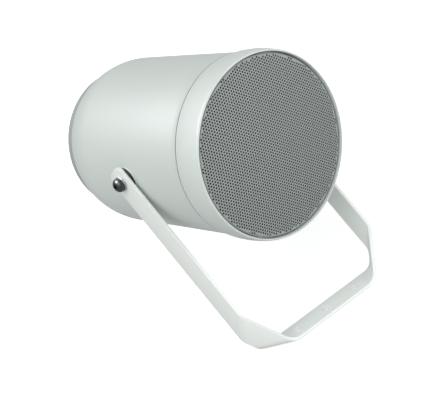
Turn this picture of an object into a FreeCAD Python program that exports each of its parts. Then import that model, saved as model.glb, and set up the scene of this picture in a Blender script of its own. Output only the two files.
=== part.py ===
"""Sound projector speaker: a round moulded housing that tilts in a folded strip bracket, in millimetres.

The origin is the middle of the bracket's foot, on its underside. +Z is up and the speaker faces -Y.
Round pieces are turned profiles. A speaker place is given as across (+X), up (+Z) and ahead of the pivot.
"""
import FreeCAD, Part
import math
import os
import re

import Sketcher
from FreeCAD import Placement, Rotation, Vector

SIZES = {
    # bracket, folded from flat bar
    "bar_width": 27,
    "bar_thick": 3.5,
    "bend_radius": 9,
    "corner_flat": 4.3,
    "fold_angle": 76,
    "arm_end": 15,
    "arm_corner": 8,
    "foot_hole_radius": 4.5,
    "foot_hole_edge": 7.74,
    "pivot_back": 122.3,
    "pivot_height": 184.2,
    # housing shell, built round the driver
    "driver_radius": 82,
    "ring_room": 2.2,
    "shell_wall": 3.5,
    "body_taper": 0.0197,
    "shell_rear": 107,
    "shoulder_start": 66,
    "shoulder_arc": 85,
    "flare_long": 9.5,
    "flare_rise": 1.3,
    "flare_arc": 41,
    "seam_place": 93.5,
    "spigot_long": 4,
    "fit_gap": 0.2,
    "baffle_set": 1.5,
    "baffle_thick": 4,
    "baffle_lap": 12,
    "collar_lap": 9.8,
    "collar_thick": 4,
    "cover_seat": 4.3,
    # front bezel
    "seam_gap": 0.6,
    "bezel_skirt": 1.9,
    "bezel_arc": 91,
    "bezel_long": 35,
    "lip_rise": 0.6,
    "lip_thick": 1.7,
    "lip_round": 0.8,
    "grille_deep": 9.5,
    "ledge_wide": 5.5,
    "ledge_thick": 3,
    "stop_wide": 2.4,
    # grille and the cloth behind it
    "grille_gap": 1.7,
    "grille_sheet": 1,
    "grille_drop": 2.5,
    "dome_rise": 6.5,
    "perf_edge": 11.85,
    "perf_radius": 5.4,
    "perf_turn": 20,
    "cloth_thick": 0.8,
    # rear cover and its seal
    "seal_thick": 1,
    "cover_step": 1.5,
    "cover_deep": 12.5,
    "cover_draft": 1.3,
    "cover_round": 3,
    "cover_wall": 3.5,
    "cover_skirt": 3.2,
    "pillar_radius": 4.6,
    # screws
    "screw_shank": 1.9,
    "screw_head": 3.5,
    "screw_head_high": 2.3,
    "screw_clear": 0.1,
    "screw_edge": 4.2,
    "boss_radius": 4.6,
    "boss_long": 12,
    "sink_deep": 2.6,
    # tilt pivot
    "bolt_radius": 4,
    "bolt_head_radius": 7,
    "bolt_head_high": 4.4,
    "bolt_head_round": 2.6,
    "socket_radius": 2.9,
    "socket_deep": 2.6,
    "bolt_grip": 14,
    "running_gap": 0.1,
    "side_gap": 0.3,
    "plain_washer_radius": 8,
    "plain_washer_thick": 1.6,
    "lock_washer_radius": 6.9,
    "lock_washer_thick": 2,
    "pad_radius": 14,
    "pad_thick": 3,
    "pivot_boss_radius": 14.5,
    "pivot_boss_proud": 0.6,
    "pivot_boss_deep": 17,
    "insert_radius": 6,
    # driver
    "gasket_thick": 1.5,
    "flange_thick": 1.5,
    "flange_wide": 13,
    "basket_deep": 45,
    "basket_sheet": 1.2,
    "basket_throat": 41,
    "shelf_rise": 6.5,
    "shelf_wide": 5,
    "window_wide": 26,
    "plate_thick": 6,
    "plate_radius": 40,
    "magnet_radius": 45,
    "magnet_bore": 22,
    "magnet_high": 15,
    "coil_bore": 12.75,
    "former_thick": 0.3,
    "winding_thick": 0.7,
    "winding_high": 8,
    "coil_gap": 0.45,
    "neck_rise": 12,
    "cone_thick": 0.8,
    "soft_gap": 0.3,
    "roll_wide": 9.2,
    "roll_arc": 5.2,
    "glue_wide": 4.5,
    "soft_thick": 0.8,
    "cap_radius": 21,
    "cap_rise": 6,
    "spider_waves": 1.2,
    # line transformer and terminals on the rear cover
    "trafo_up": 24,
    "core_wide": 54,
    "core_tall": 45,
    "core_stack": 22,
    "limb_wide": 9,
    "coil_stand": 8,
    "coil_clear": 0.2,
    "frame_sheet": 1.2,
    "foot_long": 12,
    "trafo_pad": 5,
    "terminal_down": 12,
    "terminal_side": 8,
    "terminal_tall": 20,
    "terminal_deep": 16,
    "well_wall": 0.9,
    "pole_radius": 2.6,
    # cable gland
    "gland_down": 42,
    "gland_radius": 8,
    "gland_bore": 5,
    "gland_nut": 12.7,
    "gland_flange": 5,
    "gland_stub": 10,
    "gland_cap": 14,
    "locknut_thick": 4,
    "cable_bore": 3.5,
}

BEND_STEPS = 8
SCREW_COUNT = 4
WINDOW_COUNT = 6
PERF_RINGS = 5
SPIDER_FOLDS = 6
FORWARD = Rotation(Vector(1, 0, 0), 90)
BACKWARD = Rotation(Vector(1, 0, 0), -90)
TO_RIGHT = Rotation(Vector(0, 1, 0), 90)
TO_LEFT = Rotation(Vector(0, 1, 0), -90)
UPRIGHT = Rotation()

doc = FreeCAD.newDocument("sound_projector")
sheet = doc.addObject("Spreadsheet::Sheet", "Sizes")
for row, (name, value) in enumerate(SIZES.items(), start=1):
    sheet.set(f"A{row}", name)
    sheet.set(f"B{row}", str(value))
    sheet.setAlias(f"B{row}", name)
doc.recompute()
nodes = []


def sized(text):
    """An expression in which each size's name points at its cell."""
    return re.sub(r"\b[a-z]+(?:_[a-z]+)+\b", r"Sizes.\g<0>", text)


def number(text):
    """What an expression comes to now, for a sketch's first drawing."""
    return float(sheet.evalExpression(sized(text)))


def ahead(text):
    return f"pivot_back - ({text})"


def above(text):
    return f"pivot_height + ({text})"


def place(piece, rotation, across="0", up="0", forward="0"):
    """Puts a piece at a speaker place, bound to the pivot's cells."""
    piece.Placement = Placement(Vector(), rotation)
    piece.setExpression("Placement.Base.x", sized(across))
    piece.setExpression("Placement.Base.y", sized(ahead(forward)))
    piece.setExpression("Placement.Base.z", sized(above(up)))
    return piece


def finished(piece, label):
    piece.Label = label
    nodes.append(piece)
    return piece


def origin_plane(body, role):
    return next(item for item in body.Origin.OriginFeatures if item.Role == role)


def new_sketch(body, role, name):
    sketch = body.newObject("Sketcher::SketchObject", name)
    sketch.AttachmentSupport = [(origin_plane(body, role), "")]
    sketch.MapMode = "FlatFace"
    return sketch


def arc_middle(start, end, radius, side):
    """The middle of an arc from start to end that bows to the left (side 1) or the right (side -1)."""
    chord = end - start
    sagitta = radius - math.sqrt(radius**2 - chord.Length**2 / 4)
    left = Vector(-chord.y, chord.x, 0) / chord.Length
    return (start + end) / 2 + left * (side * sagitta)


def draw_outline(sketch, outline):
    """Closed outline of (radius, place) or (radius, place, arc, side); each value is an expression."""
    corners = [Vector(number(corner[0]), number(corner[1]), 0) for corner in outline]
    following = corners[1:] + corners[:1]
    for corner, start, end in zip(outline, corners, following):
        if len(corner) == 2:
            sketch.addGeometry(Part.LineSegment(start, end), False)
        else:
            middle = arc_middle(start, end, number(corner[2]), corner[3])
            ends = (end, start) if corner[3] > 0 else (start, end)
            sketch.addGeometry(Part.Arc(ends[0], middle, ends[1]), False)
    # arcs are drawn counter-clockwise, so one that bows to the left begins at its far corner
    first = [2 if len(corner) == 4 and corner[3] > 0 else 1 for corner in outline]
    for i, corner in enumerate(outline):
        before = i - 1 if i else len(outline) - 1
        sketch.addConstraint(Sketcher.Constraint("Coincident", before, 3 - first[before], i, first[i]))
        for kind, axis, text in (("DistanceX", -2, corner[0]), ("DistanceY", -1, corner[1])):
            if abs(number(text)) < 1e-9:
                sketch.addConstraint(Sketcher.Constraint("PointOnObject", i, first[i], axis))
                continue
            index = sketch.addConstraint(Sketcher.Constraint(kind, -1, 1, i, first[i], number(text)))
            sketch.renameConstraint(index, f"{kind}_{i}")
            sketch.setExpression(f"Constraints.{kind}_{i}", sized(text))
        if len(corner) == 4:
            index = sketch.addConstraint(Sketcher.Constraint("Radius", i, number(corner[2])))
            sketch.renameConstraint(index, f"Bow_{i}")
            sketch.setExpression(f"Constraints.Bow_{i}", sized(corner[2]))


def turned(name, outline):
    """A body turned about its own z axis."""
    body = doc.addObject("PartDesign::Body", name)
    sketch = new_sketch(body, "XZ_Plane", name + "_profile")
    draw_outline(sketch, outline)
    turn = body.newObject("PartDesign::Revolution", name + "_turn")
    turn.Profile = sketch
    turn.ReferenceAxis = (sketch, ["V_Axis"])
    turn.Angle = 360
    return body


def ring(name, inner, outer, back, front):
    return turned(name, [(inner, back), (outer, back), (outer, front), (inner, front)])


def cylinder(name, radius, length, rotation, across="0", up="0", forward="0"):
    piece = doc.addObject("Part::Cylinder", name)
    piece.setExpression("Radius", sized(radius))
    piece.setExpression("Height", sized(length))
    return place(piece, rotation, across, up, forward)


def block(name, wide, deep, tall, across, up, forward):
    """A box that is wide along X, deep along the axis and tall along Z, from its left, low, front corner."""
    piece = doc.addObject("Part::Box", name)
    piece.setExpression("Length", sized(wide))
    piece.setExpression("Width", sized(deep))
    piece.setExpression("Height", sized(tall))
    return place(piece, UPRIGHT, across, up, forward)


def hexagon(name, radius, length, rotation, across="0", up="0", forward="0"):
    piece = doc.addObject("Part::Prism", name)
    piece.Polygon = 6
    piece.setExpression("Circumradius", sized(radius))
    piece.setExpression("Height", sized(length))
    return place(piece, rotation, across, up, forward)


def fused(name, pieces):
    piece = doc.addObject("Part::MultiFuse", name)
    piece.Shapes = pieces
    piece.Refine = True
    return piece


def cut(name, base, tools):
    piece = doc.addObject("Part::Cut", name)
    piece.Base = base
    piece.Tool = tools[0] if len(tools) == 1 else fused(name + "_tools", tools)
    piece.Refine = True
    return piece


def group(name, pieces):
    piece = doc.addObject("Part::Compound", name)
    piece.Links = pieces
    return piece


def round_axis(radius, count, start=45):
    """The places of a ring of screws: across and up, as expressions."""
    angles = [start + 360 * i / count for i in range(count)]
    return [(f"({radius}) * cos({angle} deg)", f"({radius}) * sin({angle} deg)") for angle in angles]


# Radii of the housing, outwards from the driver, and places along its axis
BODY = "(driver_radius + ring_room + shell_wall)"


def outer(place_ahead):
    return f"({BODY} + ({place_ahead}) * body_taper)"


SHOULDER = outer("-shoulder_start")


def shoulder(behind, inset):
    """The rounded shoulder's radius at a place behind the pivot, inset from its outside."""
    reach = f"(({behind}) - shoulder_start)"
    return f"({SHOULDER} - shoulder_arc + sqrt((shoulder_arc - ({inset}))^2 - {reach}^2))"


FLARE_START = "(seam_place - flare_long)"
THROAT = outer(FLARE_START)
SEAM = f"({THROAT} + flare_rise)"
SPIGOT = f"({SEAM} - bezel_skirt - fit_gap)"
LIP = f"({SEAM} + lip_rise)"
LIP_BORE = f"({LIP} - lip_thick)"
GRILLE = f"({LIP_BORE} - grille_gap)"
BAFFLE = "(seam_place - baffle_set)"
STOP = "(seam_place + spigot_long)"
LIP_FRONT = "(seam_place + bezel_long)"
SEAT = f"({LIP_FRONT} - grille_deep)"
RIM_TOP = f"({LIP_FRONT} - grille_drop)"
APEX = f"({RIM_TOP} + dome_rise)"
REAR = shoulder("shell_rear", "0")
COVER_BORE = f"({REAR} - shell_wall)"
COLLAR_BACK = "(shell_rear - cover_seat)"
COLLAR_FRONT = "(shell_rear - cover_seat - collar_thick)"
COVER_BACK = "(shell_rear + cover_deep)"
COVER_INSIDE = f"({COVER_BACK} - cover_wall)"
COVER_END = f"({COLLAR_BACK} + fit_gap)"
REAR_SCREWS = f"({COVER_BORE} - fit_gap - pillar_radius - cover_skirt / 2)"
DRIVER_BORE = "(driver_radius - baffle_lap)"
DRIVER_SCREWS = "(driver_radius - screw_edge)"
FLANGE_BACK = f"({BAFFLE} + gasket_thick)"
FLANGE_FRONT = f"({FLANGE_BACK} + flange_thick)"
PLATE_FRONT = f"({FLANGE_BACK} - basket_deep)"
MAGNET_FRONT = f"({PLATE_FRONT} - plate_thick)"
MAGNET_BACK = f"({MAGNET_FRONT} - magnet_high)"
COIL_OUTSIDE = "(coil_bore + winding_thick)"
BOSS_FACE = f"({BODY} + pivot_boss_proud)"
ARM_INSIDE = f"({BOSS_FACE} + pad_thick + side_gap)"
ARM_OUTSIDE = f"({ARM_INSIDE} + bar_thick)"
WASHER_FACE = f"({ARM_OUTSIDE} + side_gap)"
LOCK_FACE = f"({WASHER_FACE} + plain_washer_thick)"
HEAD_FACE = f"({LOCK_FACE} + lock_washer_thick)"
INSERT_END = f"({BODY} - pivot_boss_deep)"


# The bracket: one straight bar, folded twice on each side along skewed lines
class Fold:
    """A round bend of the bar about a line that is skewed to it, on the bar's middle surface."""

    def __init__(self, start, along, inward, line, angle, radius):
        self.start = start
        self.inward = inward
        self.line = line
        self.angle = angle
        self.radius = radius
        self.onward = (along - line * along.dot(line)).normalize()
        self.slope = along.dot(line)
        self.rate = along.dot(self.onward)
        self.drift = radius * self.slope / self.rate

    def middle(self, turn):
        """The bar's centre line after part of the bend."""
        lift = self.inward * (1 - math.cos(turn)) + self.onward * math.sin(turn)
        return self.start + lift * self.radius + self.line * (self.drift * turn)

    def normal(self, turn):
        return self.inward * math.cos(turn) - self.onward * math.sin(turn)

    def along(self, turn):
        ahead_of_line = self.onward * math.cos(turn) + self.inward * math.sin(turn)
        return ahead_of_line * self.rate + self.line * self.slope

    def section(self, turn, width, thick):
        """The bar cut along the fold line, as four corners."""
        half = self.line * (width / 2 / self.rate)
        rise = self.normal(turn) * (thick / 2)
        centre = self.middle(turn)
        return [centre - half - rise, centre + half - rise, centre + half + rise, centre - half + rise]


def bracket_folds(size, skew, arm_middle):
    """Both folds of the right half for one skew of the foot's fold line, the arm at its place along X."""
    middle_radius = size["bend_radius"] + size["bar_thick"] / 2
    half_width = size["bar_width"] / 2
    bar = Vector(1, 0, 0)
    line = Vector(math.sin(skew), math.cos(skew), 0)
    start = Vector(0, 0, size["bar_thick"] / 2)
    low = Fold(start, bar, Vector(0, 0, 1), line, math.radians(size["fold_angle"]), middle_radius)
    along = low.along(low.angle)
    inward = low.normal(low.angle)
    arm_line = inward.cross(bar).normalize()
    high = Fold(low.middle(low.angle), along, inward, arm_line, math.acos(-inward.x), middle_radius)
    edge_step = (arm_line / high.rate - line / low.rate).dot(along) * half_width
    high.start = high.start + along * (size["corner_flat"] + abs(edge_step))
    slide = bar * (arm_middle - high.middle(high.angle).x)
    low.start = low.start + slide
    high.start = high.start + slide
    return low, high


def skew_to_pivot(size, arm_middle):
    """The skew at which the straight bar's arms lean back just enough to meet the pivot."""
    least, most = math.radians(1), math.radians(75)
    for _ in range(60):
        skew = (least + most) / 2
        low, high = bracket_folds(size, skew, arm_middle)
        top = high.middle(high.angle)
        lean = high.along(high.angle)
        back = top.y + lean.y / lean.z * (size["pivot_height"] - top.z)
        if back < size["pivot_back"]:
            least = skew
        else:
            most = skew
    return (least + most) / 2


def plate(corners, rise):
    face = Part.Face(Part.makePolygon(corners + corners[:1]))
    return face.extrude(rise)


def bent(fold, width, thick):
    turns = [fold.angle * i / BEND_STEPS for i in range(BEND_STEPS + 1)]
    sections = [fold.section(turn, width, thick) for turn in turns]
    return Part.makeLoft([Part.makePolygon(s + s[:1]) for s in sections], True)


def folded_bar():
    size = {name: getattr(sheet, name) for name in SIZES}
    width, thick = size["bar_width"], size["bar_thick"]
    arm_middle = number(ARM_INSIDE) + thick / 2
    low, high = bracket_folds(size, skew_to_pivot(size, arm_middle), arm_middle)
    pivot = Vector(arm_middle, size["pivot_back"], size["pivot_height"])
    lean = high.along(high.angle)
    across = Vector(1, 0, 0).cross(lean)
    low_start, low_end = low.section(0, width, thick), low.section(low.angle, width, thick)
    high_start, high_end = high.section(0, width, thick), high.section(high.angle, width, thick)
    half_foot = [Vector(0, -width / 2, 0), low_start[0], low_start[1], Vector(0, width / 2, 0)]
    foot = plate(half_foot, Vector(0, 0, thick))
    pitch = low_start[0].x - size["foot_hole_edge"]
    corner_quad = [low_end[0], low_end[1], high_start[1], high_start[0]]
    corner = plate(corner_quad, low.normal(low.angle) * thick)
    outside = Vector(thick / 2, 0, 0)
    tips = [pivot + lean * size["arm_end"] + across * (side * width / 2) + outside for side in (1, -1)]
    if (tips[0] - high_end[0]).Length > (tips[1] - high_end[0]).Length:
        tips.reverse()
    arm = plate([high_end[0], tips[0], tips[1], high_end[1]], Vector(-thick, 0, 0))
    ends = [edge for edge in arm.Edges if all(abs((v.Point - pivot).dot(lean) - size["arm_end"]) < 1e-6
                                              for v in edge.Vertexes) and abs(edge.Length - thick) < 1e-6]
    arm = arm.makeFillet(size["arm_corner"], ends)
    half = foot.multiFuse([bent(low, width, thick), corner, bent(high, width, thick), arm])
    whole = half.fuse(half.mirror(Vector(), Vector(1, 0, 0))).removeSplitter()
    holes = [Part.makeCylinder(size["foot_hole_radius"], thick, Vector(step * pitch, 0, 0)) for step in (-1, 0, 1)]
    return whole.cut(holes)


def make_bracket():
    bar = doc.addObject("Part::Feature", "folded_bar")
    bar.Shape = folded_bar()
    through = f"2 * {ARM_OUTSIDE}"
    hole = cylinder("pivot_hole", "bolt_radius + running_gap", through, TO_RIGHT, f"-{ARM_OUTSIDE}")
    finished(cut("bracket", bar, [hole]), "mounting_bracket")


# Housing: shell, bezel, grille, cloth, rear cover and seal
def make_shell():
    inside = f"({outer(BAFFLE + ' - baffle_thick')} - shell_wall)"
    shell = turned("shell", [
        (REAR, "-shell_rear", "shoulder_arc", -1),
        (SHOULDER, "-shoulder_start"),
        (THROAT, FLARE_START, "flare_arc", 1),
        (SEAM, "seam_place"),
        (SPIGOT, "seam_place"),
        (SPIGOT, STOP),
        ("driver_radius + ring_room", STOP),
        ("driver_radius + ring_room", BAFFLE),
        (DRIVER_BORE, BAFFLE),
        (DRIVER_BORE, f"{BAFFLE} - baffle_thick"),
        (inside, f"{BAFFLE} - baffle_thick"),
        (f"{SHOULDER} - shell_wall", "-shoulder_start", "shoulder_arc - shell_wall", 1),
        (shoulder(COLLAR_FRONT, "shell_wall"), f"-{COLLAR_FRONT}"),
        (f"{REAR_SCREWS} - collar_lap", f"-{COLLAR_FRONT}"),
        (f"{REAR_SCREWS} - collar_lap", f"-{COLLAR_BACK}"),
        (COVER_BORE, f"-{COLLAR_BACK}"),
        (COVER_BORE, "-shell_rear"),
    ])
    place(shell, FORWARD)
    bosses, bores = [], []
    for side, turn in (("-", TO_LEFT), ("", TO_RIGHT)):
        length = "pivot_boss_proud + pivot_boss_deep"
        bosses.append(cylinder("pivot_boss", "pivot_boss_radius", length, turn, f"{side}{INSERT_END}"))
        bores.append(cylinder("insert_bore", "insert_radius", length, turn, f"{side}{INSERT_END}"))
    hole = "screw_shank + screw_clear"
    for across, up in round_axis(DRIVER_SCREWS, SCREW_COUNT):
        bosses.append(cylinder("driver_boss", "boss_radius", "boss_long", BACKWARD, across, up,
                               f"{BAFFLE} - baffle_thick"))
        bores.append(cylinder("driver_screw_bore", hole, "boss_long + baffle_thick", BACKWARD, across, up, BAFFLE))
    for across, up in round_axis(REAR_SCREWS, SCREW_COUNT):
        bosses.append(cylinder("rear_boss", "boss_radius", "boss_long", FORWARD, across, up, f"-{COLLAR_FRONT}"))
        bores.append(cylinder("rear_bore", hole, "boss_long + collar_thick", FORWARD, across, up,
                              f"-{COLLAR_BACK}"))
    finished(cut("housing", fused("shell_with_bosses", [shell] + bosses), bores), "housing_shell")


def make_bezel():
    bezel = turned("bezel", [
        (SEAM, "seam_place + seam_gap", "bezel_arc", -1),
        (LIP, f"{LIP_FRONT} - lip_round", "lip_round", -1),
        (f"{LIP} - lip_round", LIP_FRONT),
        (LIP_BORE, LIP_FRONT),
        (LIP_BORE, SEAT),
        (f"{LIP_BORE} - ledge_wide", SEAT),
        (f"{LIP_BORE} - ledge_wide", f"{SEAT} - ledge_thick"),
        (f"{SPIGOT} - stop_wide", f"{SEAT} - ledge_thick"),
        (f"{SPIGOT} - stop_wide", STOP),
        (f"{SPIGOT} + fit_gap", STOP),
        (f"{SPIGOT} + fit_gap", "seam_place + seam_gap"),
    ])
    finished(place(bezel, FORWARD), "front_bezel")


def make_grille():
    dome = f"(({GRILLE}^2 + dome_rise^2) / (2 * dome_rise))"
    inner_rim = f"({GRILLE} - grille_sheet)"
    inner_top = f"({APEX} - {dome} + sqrt(({dome} - grille_sheet)^2 - {inner_rim}^2))"
    grille = turned("grille", [
        (inner_rim, SEAT),
        (GRILLE, SEAT),
        (GRILLE, RIM_TOP, dome, -1),
        ("0", APEX),
        ("0", f"{APEX} - grille_sheet", f"{dome} - grille_sheet", 1),
        (inner_rim, inner_top),
    ])
    plain = grille.Tip
    doc.recompute()
    sector = new_sketch(grille, "XY_Plane", "perforation_sector")
    steps = [(ring_step - turn_step / 2, turn_step * math.sqrt(3) / 2)
             for ring_step in range(1, PERF_RINGS + 1) for turn_step in range(ring_step)]
    draw_circles(sector, steps)
    middle = new_sketch(grille, "XY_Plane", "perforation_middle")
    draw_circles(middle, [(0, 0)])
    pockets = []
    for sketch in (sector, middle):
        pocket = grille.newObject("PartDesign::Pocket", sketch.Name + "_holes")
        pocket.Profile = sketch
        pocket.Type = "ThroughAll"
        pocket.Reversed = True
        pockets.append(pocket)
    doc.recompute()
    pattern = grille.newObject("PartDesign::PolarPattern", "perforation_pattern")
    pattern.Originals = [pockets[0]]
    pattern.Axis = (sector, ["N_Axis"])
    pattern.Angle = 360
    pattern.Occurrences = 6
    grille.Tip = pattern
    doc.recompute()
    if not grille.Shape.Volume < 0.8 * plain.Shape.Volume:
        raise RuntimeError("the perforations cut nothing")
    finished(place(grille, FORWARD), "front_grille")


def draw_circles(sketch, steps):
    """Perforations at places counted in pitches, the whole pattern turned about the middle."""
    pitch = f"(({GRILLE} - perf_edge) / {PERF_RINGS})"
    turn = "perf_turn * 1 deg"
    for i, (right, up) in enumerate(steps):
        across = f"{pitch} * ({right} * cos({turn}) - {up} * sin({turn}))"
        along = f"{pitch} * ({right} * sin({turn}) + {up} * cos({turn}))"
        centre = Vector(number(across), number(along), 0)
        sketch.addGeometry(Part.Circle(centre, Vector(0, 0, 1), number("perf_radius")), False)
        index = sketch.addConstraint(Sketcher.Constraint("Radius", i, number("perf_radius")))
        sketch.renameConstraint(index, f"Hole_{i}")
        sketch.setExpression(f"Constraints.Hole_{i}", sized("perf_radius"))
        if not right and not up:
            sketch.addConstraint(Sketcher.Constraint("Coincident", i, 3, -1, 1))
            continue
        for kind, text in (("DistanceX", across), ("DistanceY", along)):
            index = sketch.addConstraint(Sketcher.Constraint(kind, -1, 1, i, 3, number(text)))
            sketch.renameConstraint(index, f"{kind}_{i}")
            sketch.setExpression(f"Constraints.{kind}_{i}", sized(text))


def make_cloth():
    edge = f"({GRILLE} - grille_sheet - fit_gap)"
    cloth = turned("cloth", [("0", SEAT), (edge, SEAT), (edge, f"{SEAT} + cloth_thick"),
                             ("0", f"{SEAT} + cloth_thick")])
    finished(place(cloth, FORWARD), "dust_cloth")


def make_rear():
    rim = f"({REAR} - cover_step)"
    edge = f"({rim} - cover_draft)"
    spigot = f"({COVER_BORE} - fit_gap)"
    flange = "-(shell_rear + seal_thick)"
    seal = ring("seal", f"{COVER_BORE} + fit_gap", f"{rim} - fit_gap", flange, "-shell_rear")
    finished(place(seal, FORWARD), "rear_seal")
    cover = turned("cover", [
        (f"{spigot} - cover_skirt", f"-{COVER_END}"),
        (f"{spigot} - cover_skirt", f"-{COVER_INSIDE}"),
        ("0", f"-{COVER_INSIDE}"),
        ("0", f"-{COVER_BACK}"),
        (f"{edge} - cover_round", f"-{COVER_BACK}", "cover_round", -1),
        (edge, f"-({COVER_BACK} - cover_round)"),
        (rim, flange),
        (spigot, flange),
        (spigot, f"-{COVER_END}"),
    ])
    place(cover, FORWARD)
    pillars, bores = [], []
    hole = "screw_shank + screw_clear"
    for across, up in round_axis(REAR_SCREWS, SCREW_COUNT):
        pillars.append(cylinder("cover_pillar", "pillar_radius", f"{COVER_INSIDE} - {COVER_END}", FORWARD,
                                across, up, f"-{COVER_INSIDE}"))
        bores.append(cylinder("cover_hole", hole, f"{COVER_BACK} - {COVER_END}", FORWARD, across, up,
                              f"-{COVER_BACK}"))
        bores.append(cylinder("cover_sink", "screw_head + fit_gap", "sink_deep", FORWARD, across, up,
                              f"-{COVER_BACK}"))
    for side in (-1, 1):
        across = f"{side} * {TRAFO_SCREW}"
        pillars.append(cylinder("trafo_pillar", "pillar_radius", "trafo_pad", FORWARD, across, "trafo_up",
                                f"-{COVER_INSIDE}"))
        bores.append(cylinder("trafo_bore", hole, "trafo_pad + cover_wall / 2", BACKWARD, across, "trafo_up",
                              TRAFO_BACK))
        bores.append(cylinder("terminal_bore", hole, "cover_wall / 2", BACKWARD, f"{side} * {POLE_PITCH} / 2",
                              "-terminal_down", f"-{COVER_INSIDE}"))
    bores.append(cylinder("gland_hole", "gland_radius + screw_clear", "cover_wall", FORWARD, "0", "-gland_down",
                          f"-{COVER_BACK}"))
    finished(cut("rear", fused("cover_with_pillars", [cover] + pillars), bores), "rear_cover")


# Fasteners: one profile, its head at z = 0 and its shank ahead of it
def screw(name, length):
    return turned(name, [
        ("0", "-screw_head_high"),
        ("screw_head - screw_head_high / 3", "-screw_head_high", "screw_head_high", 1),
        ("screw_head", "0"),
        ("screw_shank", "0"),
        ("screw_shank", length),
        ("0", length),
    ])


def make_screws(label, length, rotation, places, forward):
    pieces = []
    for across, up in places:
        pieces.append(place(screw("screw", length), rotation, across, up, forward))
    finished(group("screws", pieces), label)


def make_fasteners():
    reach = f"{FLANGE_FRONT} - {BAFFLE} + baffle_thick + boss_long / 2"
    make_screws("driver_screws", reach, BACKWARD, round_axis(DRIVER_SCREWS, SCREW_COUNT), FLANGE_FRONT)
    reach = f"{COVER_BACK} - sink_deep - {COLLAR_FRONT} + boss_long / 2"
    make_screws("rear_cover_screws", reach, FORWARD, round_axis(REAR_SCREWS, SCREW_COUNT),
                f"-({COVER_BACK} - sink_deep)")
    places = [(f"{side} * {TRAFO_SCREW}", "trafo_up") for side in (-1, 1)]
    make_screws("transformer_screws", "frame_sheet + trafo_pad", BACKWARD, places, f"{TRAFO_BACK} + frame_sheet")
    places = [(f"{side} * {POLE_PITCH} / 2", "-terminal_down") for side in (-1, 1)]
    make_screws("terminal_mount_screws", "terminal_deep / 2 + cover_wall / 3", BACKWARD, places,
                f"-{COVER_INSIDE} + terminal_deep / 2")


# Tilt pivot, one set on each side, turned outwards from the speaker's axis
def make_pivot(side, turn):
    insert = ring("insert", "bolt_radius + running_gap / 2", "insert_radius", INSERT_END, BOSS_FACE)
    finished(place(insert, turn), f"pivot_insert_{side}")
    pad = ring("pad", "bolt_radius + running_gap", "pad_radius", BOSS_FACE, f"{BOSS_FACE} + pad_thick")
    finished(place(pad, turn), f"friction_pad_{side}")
    washer = ring("washer", "bolt_radius + running_gap", "plain_washer_radius", WASHER_FACE, LOCK_FACE)
    finished(place(washer, turn), f"plain_washer_{side}")
    lock = ring("lock", "bolt_radius + running_gap", "lock_washer_radius", LOCK_FACE, HEAD_FACE)
    finished(place(lock, turn), f"lock_washer_{side}")
    bolt = turned("bolt", [
        ("0", f"{BOSS_FACE} - bolt_grip"),
        ("bolt_radius", f"{BOSS_FACE} - bolt_grip"),
        ("bolt_radius", HEAD_FACE),
        ("bolt_head_radius", HEAD_FACE),
        ("bolt_head_radius", f"{HEAD_FACE} + bolt_head_high - bolt_head_round", "bolt_head_round", -1),
        ("bolt_head_radius - bolt_head_round", f"{HEAD_FACE} + bolt_head_high"),
        ("0", f"{HEAD_FACE} + bolt_head_high"),
    ])
    place(bolt, turn)
    sign = "" if side == "right" else "-"
    socket = hexagon("socket", "socket_radius", "socket_deep", turn,
                     f"{sign}({HEAD_FACE} + bolt_head_high - socket_deep)")
    finished(cut("pivot_bolt", bolt, [socket]), f"pivot_bolt_{side}")


# Driver: fixed frame and magnet, moving cone, and the two soft suspensions
SHELF = f"({PLATE_FRONT} + shelf_rise)"
THROAT_INSIDE = "(basket_throat - shelf_wide)"
NECK = f"({PLATE_FRONT} + neck_rise)"
CONE_FRONT = f"({FLANGE_FRONT} - soft_gap)"
ROLL_OUTSIDE = f"({DRIVER_SCREWS} - screw_head - soft_gap - glue_wide)"
ROLL_INSIDE = f"({ROLL_OUTSIDE} - roll_wide)"
CONE_RADIUS = f"({ROLL_INSIDE} - soft_gap)"


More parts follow.
